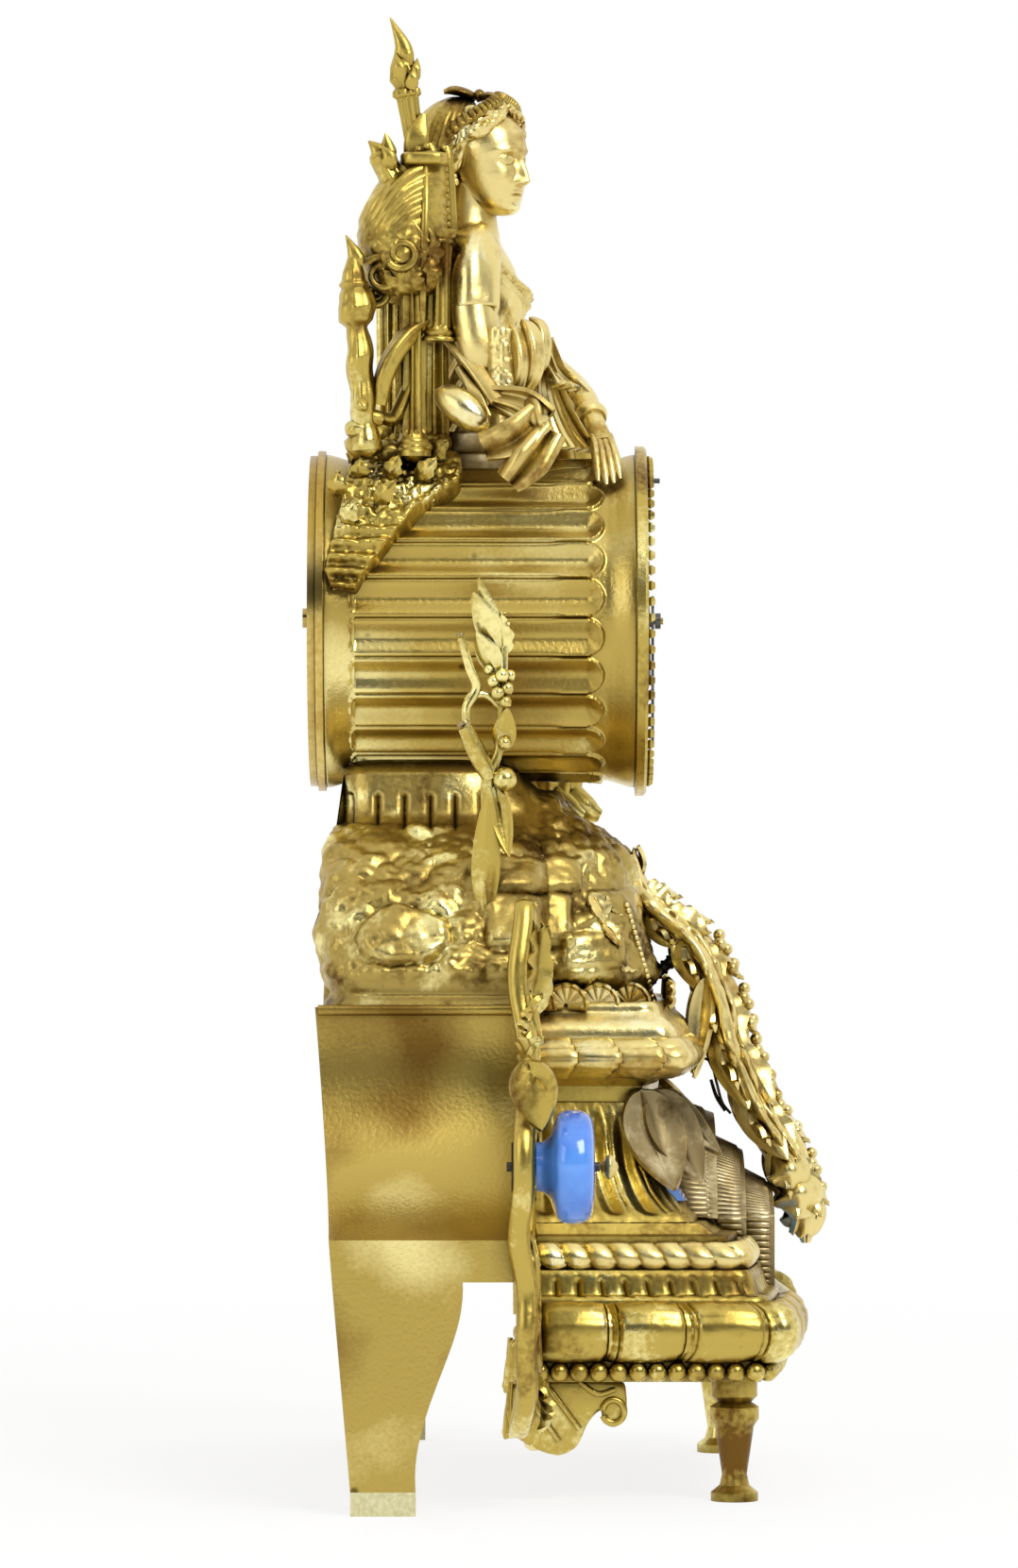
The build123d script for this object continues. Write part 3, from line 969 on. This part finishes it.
fork_slot = box(
    -ROD_RADIUS - RUN_GAP, ROD_RADIUS + RUN_GAP, PENDULUM_DEPTH - ROD_RADIUS - SHAKE, fork_back + OVERRUN,
    fork_level - OVERRUN, fork_level + OVERRUN)
nodes["anchor"] = one(anchor.fuse(anchor_arbor, crutch, fork - fork_slot))

# Pendulum on the anchor's axis
bob_z = anchor_z - PENDULUM_LENGTH
rod_plane = Plane(origin=(0, PENDULUM_DEPTH, bob_z - BOB_RADIUS - OVERRUN))
rod_length = PENDULUM_LENGTH + BOB_RADIUS + OVERRUN - 3 * ROD_RADIUS
pendulum_rod = Solid.make_cylinder(ROD_RADIUS, rod_length, rod_plane)
spring = box(
    -2 * ROD_RADIUS, 2 * ROD_RADIUS, PENDULUM_DEPTH - RUN_GAP * 4, PENDULUM_DEPTH + RUN_GAP * 4,
    anchor_z - 4 * ROD_RADIUS, anchor_z)
nodes["pendulum_rod"] = one(pendulum_rod.fuse(spring))
bob_half = BOB_THICKNESS / 2
bob_edge = BOB_THICKNESS / 6
bob = turned_along(
    ((0, PENDULUM_DEPTH - bob_half), (BOB_RADIUS / 2, PENDULUM_DEPTH - bob_half + bob_edge / 2),
     (BOB_RADIUS, PENDULUM_DEPTH - bob_edge), (BOB_RADIUS, PENDULUM_DEPTH + bob_edge),
     (BOB_RADIUS / 2, PENDULUM_DEPTH + bob_half - bob_edge / 2), (0, PENDULUM_DEPTH + bob_half)), 0, bob_z)
rod_bore = Solid.make_cylinder(
    ROD_RADIUS, 2 * PENDULUM_LENGTH, Plane(origin=(0, PENDULUM_DEPTH, bob_z - PENDULUM_LENGTH)))
nodes["pendulum_bob"] = one(bob - rod_bore)

# Back cock: carries the suspension and the tail of the regulator arbor
cock_foot = anchor_z + ARBOR_RADIUS + SHAKE * 2
cock_top = axis_z + REGULATOR_RISE + REGULATOR_RADIUS + RUN_GAP + SHAKE * 2
cock_back = PENDULUM_DEPTH + COCK_BAND
cock_arm_foot = anchor_z - COCK_BAND
cock_front = PENDULUM_DEPTH - COCK_BAND
cock_bar_top = cock_foot + COCK_BAND
cock_inner = COCK_HALF_WIDTH - COCK_BAND
cock = box(-COCK_HALF_WIDTH, COCK_HALF_WIDTH, cock_front, cock_back, cock_foot, cock_bar_top)
cock = cock.fuse(
    box(-COCK_HALF_WIDTH, -cock_inner, back_plate_back, cock_back, cock_arm_foot, cock_bar_top),
    box(cock_inner, COCK_HALF_WIDTH, back_plate_back, cock_back, cock_arm_foot, cock_bar_top),
    box(-COCK_BAND, COCK_BAND, cock_front, cock_back, cock_foot, cock_top))
regulator_z = axis_z + REGULATOR_RISE
regulator_bore = rod(REGULATOR_RADIUS + RUN_GAP, -CHEEK_BACK, CHEEK_BACK, 0, regulator_z)
nodes["back_cock"] = one(cock - regulator_bore)
regulator_tip = bezel_front - REGULATOR_PROUD
nodes["regulator_arbor"] = rod(REGULATOR_RADIUS, regulator_tip, cock_back + OVERRUN / 2, 0, regulator_z)

# Levels of the motion work, from the front plate outwards
cannon_back = front_plate_front - SHAKE
cannon_wheel_front = cannon_back - 2 * WHEEL_THICKNESS
hour_wheel_back = cannon_wheel_front - SHAKE
hour_wheel_front = hour_wheel_back - WHEEL_THICKNESS
hour_hand_front = bezel_front - HOUR_HAND_PROUD
minute_hand_back = hour_hand_front - SHAKE * 2
minute_hand_front = minute_hand_back - HAND_THICKNESS

# Plates and pillars, bored for every arbor
hammer_x, hammer_z = place(HAMMER_RADIUS, HAMMER_ANGLE)
pillar_places = [place(PLATE_RADIUS - 2 * PILLAR_RADIUS, angle) for angle in PILLAR_ANGLES]
bell_x = -BELL_OFFSET
front_plate = rod(PLATE_RADIUS, front_plate_front, front_plate_back)
back_plate = rod(PLATE_RADIUS, back_plate_front, back_plate_back)
deep = CHEEK_BACK
bores = [
    rod(BARREL_ARBOR_RADIUS + RUN_GAP, -deep, deep, going_x, going_z),
    rod(BARREL_ARBOR_RADIUS + RUN_GAP, -deep, deep, strike_x, strike_z),
    rod(PIVOT_RADIUS + RUN_GAP, -deep, deep, third_x, third_z),
    rod(PIVOT_RADIUS + RUN_GAP, -deep, deep, escape_x, escape_z),
    rod(PIVOT_RADIUS + RUN_GAP, -deep, deep, pin_x, pin_z),
    rod(PIVOT_RADIUS + RUN_GAP, -deep, 0, 0, anchor_z),
    rod(ARBOR_RADIUS + RUN_GAP, 0, deep, 0, anchor_z),
    rod(ARBOR_RADIUS + RUN_GAP, -deep, 0),
    rod(PIVOT_RADIUS + RUN_GAP, 0, deep),
    rod(ARBOR_RADIUS + RUN_GAP, -deep, deep, hammer_x, hammer_z)]
front_plate = front_plate.cut(*bores)
back_plate = back_plate.cut(*bores)
minute_post = rod(ARBOR_RADIUS, hour_wheel_front - SHAKE, front_plate_front, minute_x, minute_z)
bell_crown = BELL_MOUTH + BELL_DEPTH
bell_post = rod(BELL_POST_RADIUS, back_plate_back, bell_crown - BELL_WALL - SHAKE, bell_x)
pillars = [rod(PILLAR_RADIUS, front_plate_back, back_plate_front, x, z) for x, z in pillar_places]
nodes["front_plate"] = one(front_plate.fuse(minute_post, *pillars))
nodes["back_plate"] = one(back_plate.fuse(bell_post))

# Motion work: cannon pinion, minute wheel on its post, hour wheel with its tube, hands
cannon = gear(
    CANNON_TEETH, CANNON_MODULE, pi / 2, 0, axis_z, cannon_wheel_front, cannon_back, 0)
cannon = cannon.fuse(rod(CANNON_TUBE_RADIUS, minute_hand_front, cannon_back))
nodes["cannon_pinion"] = one(cannon - rod(ARBOR_RADIUS + RUN_GAP, -deep, deep))
minute_bore = ARBOR_RADIUS + RUN_GAP
minute_wheel = gear(
    MINUTE_TEETH, CANNON_MODULE, mesh_phase(MINUTE_TEETH, 90), minute_x, minute_z, cannon_wheel_front + SHAKE,
    cannon_back, 0)
minute_pinion = gear(
    MINUTE_LEAVES, hour_module, -pi / 2, minute_x, minute_z, hour_wheel_front - SHAKE,
    cannon_wheel_front + SHAKE, 0)
nodes["minute_wheel"] = one(
    minute_wheel.fuse(minute_pinion) - rod(minute_bore, -deep, deep, minute_x, minute_z))
hour_wheel = gear(
    HOUR_TEETH, hour_module, pi / 2 + pi / HOUR_TEETH, 0, axis_z, hour_wheel_front, hour_wheel_back, 0)
hour_tube = rod(HOUR_TUBE_RADIUS, hour_hand_front, hour_wheel_back)
nodes["hour_wheel"] = one(hour_wheel.fuse(hour_tube) - rod(CANNON_TUBE_RADIUS + RUN_GAP, -deep, deep))


def hand(shares, length, angle, y0, y1, bore):
    """Flat hand from a half outline; the angle is clockwise from twelve."""
    right = [(w * length, s * length) for s, w in shares]
    left = [(-w * length, s * length) for s, w in reversed(shares)]
    turn = -radians(angle)
    points = [
        (x * cos(turn) - z * sin(turn), axis_z + x * sin(turn) + z * cos(turn)) for x, z in right + left]
    return one(prism(points, y0, y1) - rod(bore, y0 - OVERRUN, y1 + OVERRUN))


nodes["hour_hand"] = hand(
    HOUR_HAND_SHARES, HOUR_HAND_LENGTH, HOUR_HAND_ANGLE, hour_hand_front, hour_hand_front + HAND_THICKNESS,
    HOUR_TUBE_RADIUS)
nodes["minute_hand"] = hand(
    MINUTE_HAND_SHARES, MINUTE_HAND_LENGTH, MINUTE_HAND_ANGLE, minute_hand_front, minute_hand_back,
    CANNON_TUBE_RADIUS)
nodes["hand_nut"] = one(
    rod(HAND_NUT_RADIUS, minute_hand_front - SHAKE - 2 * HAND_THICKNESS, minute_hand_front - SHAKE)
    - rod(ARBOR_RADIUS, -deep, deep))
dial = rod(DIAL_RADIUS, dial_front, dial_back)
dial = dial.cut(
    rod(HOUR_TUBE_RADIUS + SHAKE, -deep, deep), rod(WINDING_HOLE_RADIUS, -deep, deep, going_x, going_z),
    rod(WINDING_HOLE_RADIUS, -deep, deep, strike_x, strike_z), regulator_bore)
dial_foot_places = [place(PLATE_RADIUS - 2 * PILLAR_RADIUS, angle) for angle in DIAL_FOOT_ANGLES]
dial_feet = [rod(PIVOT_RADIUS, dial_back, front_plate_front, x, z) for x, z in dial_foot_places]
nodes["dial"] = one(one(dial).fuse(*dial_feet))

# Bell on its post, hammer
bell_outer = [(r * BELL_RADIUS, bell_crown - d * BELL_DEPTH) for r, d in BELL_SHARES]
bell_inner = [(max(r - BELL_WALL, 0), y - BELL_WALL) for r, y in bell_outer[:-1]]
bell_inner.append((BELL_RADIUS - BELL_WALL, BELL_MOUTH))
bell = turned_along(bell_outer + bell_inner[::-1], bell_x, axis_z)
nodes["bell"] = bell
hammer_head_y = BELL_MOUTH + BELL_DEPTH / 4
hammer_back = hammer_head_y + HAMMER_HEAD_RADIUS / 2
head_x, head_z = place(
    BELL_RADIUS + 3 * SHAKE + HAMMER_HEAD_RADIUS, HAMMER_BLOW_ANGLE, bell_x, axis_z)
hammer = rod(ARBOR_RADIUS, pivot_front, hammer_back, hammer_x, hammer_z)
tail_length = hypot(hammer_x - pin_x, hammer_z - pin_z) - pin_circle - PIN_RADIUS - 2 * SHAKE


def lever(x, z, y0, y1):
    """Flat lever from the hammer's arbor to (x, z)."""
    reach = Vector(x - hammer_x, 0, z - hammer_z)
    across = Vector(reach.Z, 0, -reach.X).normalized() * ARBOR_RADIUS
    points = [
        (hammer_x + across.X, hammer_z + across.Z), (x + across.X, z + across.Z),
        (x - across.X, z - across.Z), (hammer_x - across.X, hammer_z - across.Z)]
    return prism(points, y0, y1)


tail_angle = degrees(atan2(pin_z - hammer_z, pin_x - hammer_x))
tail_x, tail_z = place(tail_length, tail_angle, hammer_x, hammer_z)
hammer_arm = lever(head_x, head_z, hammer_head_y - ARBOR_RADIUS, hammer_head_y + ARBOR_RADIUS)
hammer_tail = lever(tail_x, tail_z, pin_back - WHEEL_THICKNESS, pin_back)
head_front = hammer_head_y - HAMMER_HEAD_RADIUS
head_back = hammer_head_y + HAMMER_HEAD_RADIUS
hammer_head = rod(HAMMER_HEAD_RADIUS, head_front, head_back, head_x, head_z)
nodes["hammer"] = one(hammer.fuse(hammer_arm, hammer_tail, hammer_head))

# Straps that hold the movement between the bezel and the rear ring, with their screws
strap_out = sqrt(DRUM_BORE_RADIUS ** 2 - (STRAP_WIDTH / 2) ** 2) - SEAT_GAP
strap_in = strap_out - STRAP_THICKNESS
strap = box(
    -strap_out, -strap_in, -DRUM_FRONT, DRUM_BACK, axis_z - STRAP_WIDTH / 2, axis_z + STRAP_WIDTH / 2)
tab = box(
    -strap_in, -PLATE_RADIUS + PLATE_THICKNESS, front_plate_front - PLATE_THICKNESS, front_plate_front,
    axis_z - STRAP_WIDTH / 2, axis_z + STRAP_WIDTH / 2)
strap = one(strap.fuse(tab))
nodes["movement_straps"] = both(strap)

# Figure
drum_cut = drum_seat
seat_level = drum_top + SEAT_HEIGHT
seat_origin = Vector(0, FIGURE_DEPTH, seat_level)
torso = tower(TORSO_SHARES, seat_origin, HEAD, 12)
head_core = tower(HEAD_SHARES, seat_origin, HEAD, 12)
veil = tower(VEIL_SHARES, seat_origin, HEAD, 12)
head_solid = head_core.fuse(veil)
head_solid = one(head_solid - torso)
nodes["figure_body"] = torso
nodes["figure_head"] = head_solid
seat_left, seat_right, seat_half = [share * HEAD for share in SEAT_SHARES]
seat = box(
    seat_left, seat_right, FIGURE_DEPTH - seat_half, FIGURE_DEPTH + seat_half,
    drum_top - 2 * SEAT_HEIGHT, seat_level)
shrine_front = CHEEK_BACK - SHRINE_DEPTH - HINGE_RADIUS
rock_points = [(shrine_front + y * SHRINE_DEPTH, drum_top + z * SHRINE_HEIGHT) for y, z in SHRINE_ROCK_SHARES]
shrine_rock = side_prism(rock_points, -SHRINE_HALF_WIDTH, -SHRINE_HALF_WIDTH / 6)
shrine_rock = shrine_rock & rod(DRUM_RADIUS + SHRINE_ROCK_THICKNESS, 0, 2 * CHEEK_BACK)
ground = one(seat.fuse(shrine_rock) - drum_cut)
nodes["figure_ground"] = ground


def figure_stations(shares):
    """Stations of a limb, from shares of a head measured at the seat."""
    return [
        (seat_origin.X + x * HEAD, seat_origin.Y + y * HEAD, seat_origin.Z + z * HEAD, w * HEAD, d * HEAD)
        for x, y, z, w, d in shares]


def shrine_place(x, y, z):
    """Point of the shrine from its shares."""
    return x * SHRINE_HALF_WIDTH, shrine_front + y * SHRINE_DEPTH, drum_top + z * SHRINE_HEIGHT


near_arm = one(strand(figure_stations(NEAR_ARM_SHARES), 10, (1, 0, 0)) - torso)
far_arm = one(strand(figure_stations(FAR_ARM_SHARES), 10, (1, 0, 0)) - torso)
skirt = one(strand(figure_stations(SKIRT_SHARES), 12) - torso - ground - drum_cut)
far_arm = one(far_arm - skirt)
sheets = [(FIGURE_DEPTH + y * HEAD, seat_level + z * HEAD) for y, z in SHEET_SHARES]
sheet_left, sheet_right = [share * HEAD for share in SHEET_SPAN_SHARES]
lap_sheets = side_prism(sheets, sheet_left, sheet_right)
lap_sheets = one(lap_sheets - torso - skirt - near_arm - far_arm - ground - drum_cut)
nodes["figure_arms"] = Compound(children=[near_arm, far_arm])
nodes["skirt"] = skirt
nodes["lap_sheets"] = lap_sheets

# Shrine on the ground behind the figure: canopy with a gable, posts, torches
canopy_stations = [
    shrine_place(x, y, z) + (w * SHRINE_HALF_WIDTH, d * SHRINE_DEPTH) for z, x, y, w, d in CANOPY_SHARES]
canopy = strand(canopy_stations, 10)
gable_points = [shrine_place(0, y, z)[1:] for y, z in GABLE_SHARES]
gable_left, gable_right = [share * SHRINE_HALF_WIDTH for share in GABLE_SPAN_SHARES]
canopy = canopy.fuse(side_prism(gable_points, gable_left, gable_right))
canopy = one(canopy - head_solid - near_arm - torso)
nodes["shrine_canopy"] = canopy
post_height = (CANOPY_SHARES[1][0] - SHRINE_FLOOR_SHARE) * SHRINE_HEIGHT
posts = []
for x_share, y_share in POST_PLACE_SHARES:
    x, y, z = shrine_place(x_share, y_share, SHRINE_FLOOR_SHARE)
    posts.append(one(turned(POST_SHARES, POST_RADIUS, post_height, x, y, z) - canopy - ground - near_arm))
nodes["shrine_posts"] = Compound(children=posts)
torches = []
for place_shares, height_share, shares, lean in SHRINE_TORCH_SHARES:
    x, y, z = shrine_place(*place_shares)
    torch = turned(shares, TORCH_RADIUS, height_share * SHRINE_HEIGHT, x, y, z)
    torch = torch.rotate(Axis((x, y, z), (1, 0, 0)), lean)
    torches.append(one(torch - canopy - ground - head_solid))
nodes["shrine_torches"] = Compound(children=torches)
sash = strand(figure_stations(SASH_SHARES), 8, (1, 0, 0)) - torso - near_arm - ground - drum_cut
for post in posts:
    sash = sash - post
nodes["sash"] = one(sash)

# Hanging garland and its screw
garland_foot = gadroon_level
garland_stations = []
for y, z, wide, thick in GARLAND_SHARES:
    garland_stations.append((
        0, -y * GARLAND_REACH, garland_foot + z * GARLAND_HEIGHT, thick * GARLAND_THICKNESS,
        wide * GARLAND_HALF_WIDTH))
stem_stations = [(x, y, z, thick, wide * GARLAND_STEM_SHARE) for x, y, z, thick, wide in garland_stations]
foliage = []
for n in range(1, len(garland_stations) - 1):
    here = Vector(*garland_stations[n][:3])
    step = Vector(*garland_stations[n + 1][:3]) - here
    face = step.cross(Vector(1, 0, 0)).normalized()
    thick, wide = garland_stations[n][3:]
    for side in (-1, 1):
        root = here + Vector(side * wide * GARLAND_ROOT_SHARE, 0, 0)
        tip = here + Vector(side * wide, 0, 0) + step * GARLAND_TIP_SHARE - face * thick
        foliage.append(leaf_blade(root, tip, GARLAND_LEAF_HALF_WIDTH, face))
    root = here + face * thick * GARLAND_RISE_SHARES[0]
    tip = here + step + face * thick * GARLAND_RISE_SHARES[1]
    foliage.append(leaf_blade(root, tip, GARLAND_LEAF_HALF_WIDTH, face))
    if n >= GARLAND_FIRST_BERRY:
        for along_share in BERRY_PLACE_SHARES:
            centre = here + step * along_share + face * thick * GARLAND_RISE_SHARES[1]
            foliage.append(Solid.make_sphere(GARLAND_BERRY_RADIUS, Plane(origin=centre)))
garland = strand(stem_stations, 10, (1, 0, 0)).fuse(*foliage)
screw_start = Vector(0, garland_stations[3][1] + SCREW_RUN, garland_stations[3][2] - SCREW_RISE)
screw_end = Vector(*garland_stations[3][:3])
screw_line = screw_end - screw_start
screw = Solid.make_cylinder(
    GARLAND_SCREW_RADIUS, screw_line.length, Plane(origin=screw_start, z_dir=screw_line.normalized()))
garland = garland - nodes["front_arch"] - plaque - rock_outside - body_outer - screw
nodes["garland"] = one(garland)
nodes["garland_screw"] = screw
nodes["rock_mound"] = one(nodes["rock_mound"] - screw - nodes["wings"])

# Foliage spray on the mound, left of the drum
spray_foot = mound_level + SPRAY_FOOT_SHARE * MOUND_HEIGHT


def spray_point(x, y, z):
    """Point of the left spray from its shares."""
    return (
        -SPRAY_HALF_SPAN - x * SPRAY_HEIGHT, PENDULUM_DEPTH + y * SPRAY_HEIGHT, spray_foot + z * SPRAY_HEIGHT)


stem = [spray_point(x, y, z) + (w * SPRAY_HEIGHT, d * SPRAY_HEIGHT) for x, y, z, w, d in SPRAY_STEM_SHARES]
spray = strand(stem, 6)
for start, end in SPRAY_LEAF_SHARES:
    a = Vector(*spray_point(*start))
    b = Vector(*spray_point(*end))
    spray = spray.fuse(leaf_blade(a, b, SPRAY_LEAF_SHARE * SPRAY_HEIGHT, (0, 1, 0)))
spray = one(spray - rock_outside - drum_cut)
nodes["spray"] = spray

os.makedirs("parts", exist_ok=True)
for name, shape in nodes.items():
    export_step(shape, f"parts/{name}.step")
print("nodes", len(nodes), "drum axis", axis_z, "hinge", hinge_x, hinge_y)
print("third", third_x, third_z, "escape", escape_z, "anchor", anchor_z, "pin", pin_x, pin_z)
print("going", going_x, going_z, "strike", strike_x, strike_z, "minute", minute_x, minute_z)
print("hammer", hammer_x, hammer_z, "regulator", regulator_z)
print("leg", leg_edge[-1].Y, leg_heel.Y, "foot", foot_x, foot_y)
